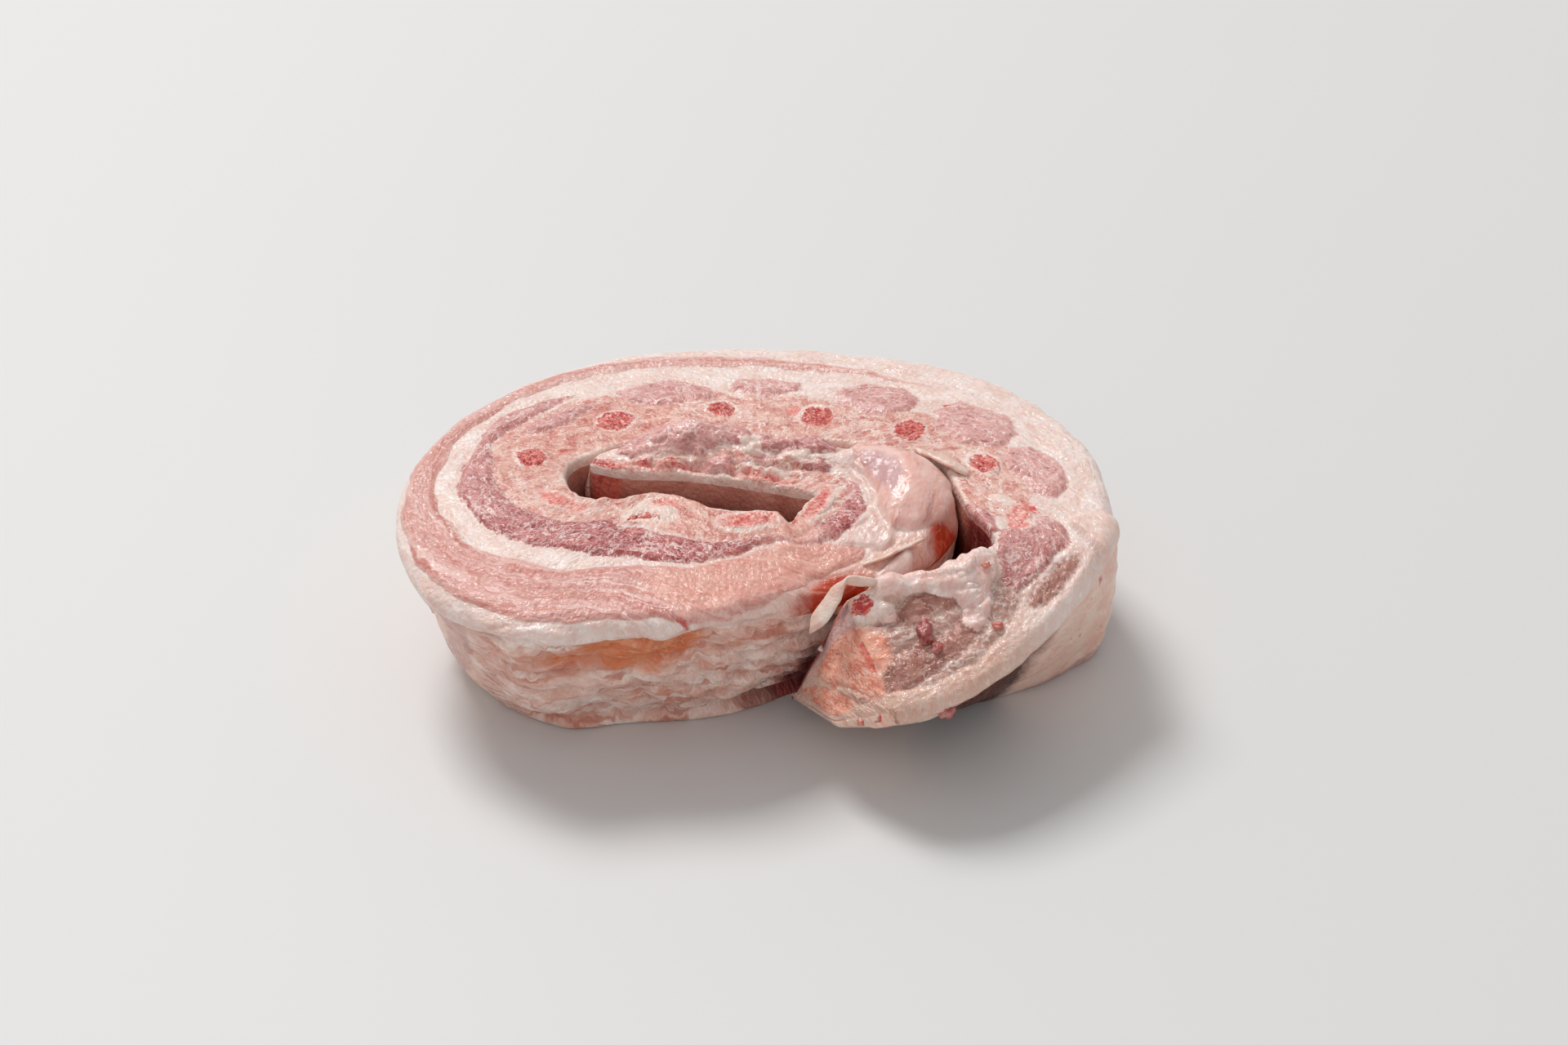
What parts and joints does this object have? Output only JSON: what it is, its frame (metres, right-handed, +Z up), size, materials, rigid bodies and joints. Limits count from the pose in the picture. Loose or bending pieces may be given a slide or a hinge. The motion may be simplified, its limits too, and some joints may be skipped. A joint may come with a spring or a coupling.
{
  "type": "raw pork belly",
  "caption": "Raw pork belly on the bone, cut across the ribs into one strip and rolled up on its edge, with layers of fat and lean, ribs, a folded middle and a loose outer end.",
  "frame": {"origin": "Middle of the bounding box in X and Y, at the bottom, on the surface that the rolled strip stands on.", "axes": "X runs along the length of the coil, with the loose outer end towards +X and -Y. Y runs across it, away from the viewer of the picture. Z is up, along the ribs."},
  "size_m": [0.1873, 0.1549, 0.0546],
  "materials": {
    "fat": "soft satin",
    "pale_lean": "wet satin",
    "dark_lean": "wet satin",
    "rib_meat": "soft satin",
    "fold_muscle": "wet gloss",
    "brown_muscle": "wet gloss",
    "marrow": "rough sawn"
  },
  "bodies": {
    "root": {"fat": "fat", "outer_lean": "pale_lean", "inner_lean": "dark_lean", "rib_meat": "rib_meat", "fold_muscle": "fold_muscle", "brown_muscle": "brown_muscle", "rib_01": "marrow", "rib_02": "marrow", "rib_03": "marrow", "rib_04": "marrow", "rib_05": "marrow", "rib_06": "marrow", "rib_07": "marrow", "rib_08": "marrow", "rib_09": "marrow", "rib_10": "marrow", "rib_11": "marrow", "rib_12": "marrow", "rib_13": "marrow", "rib_14": "marrow", "rib_15": "marrow"}
  },
  "joints": []
}
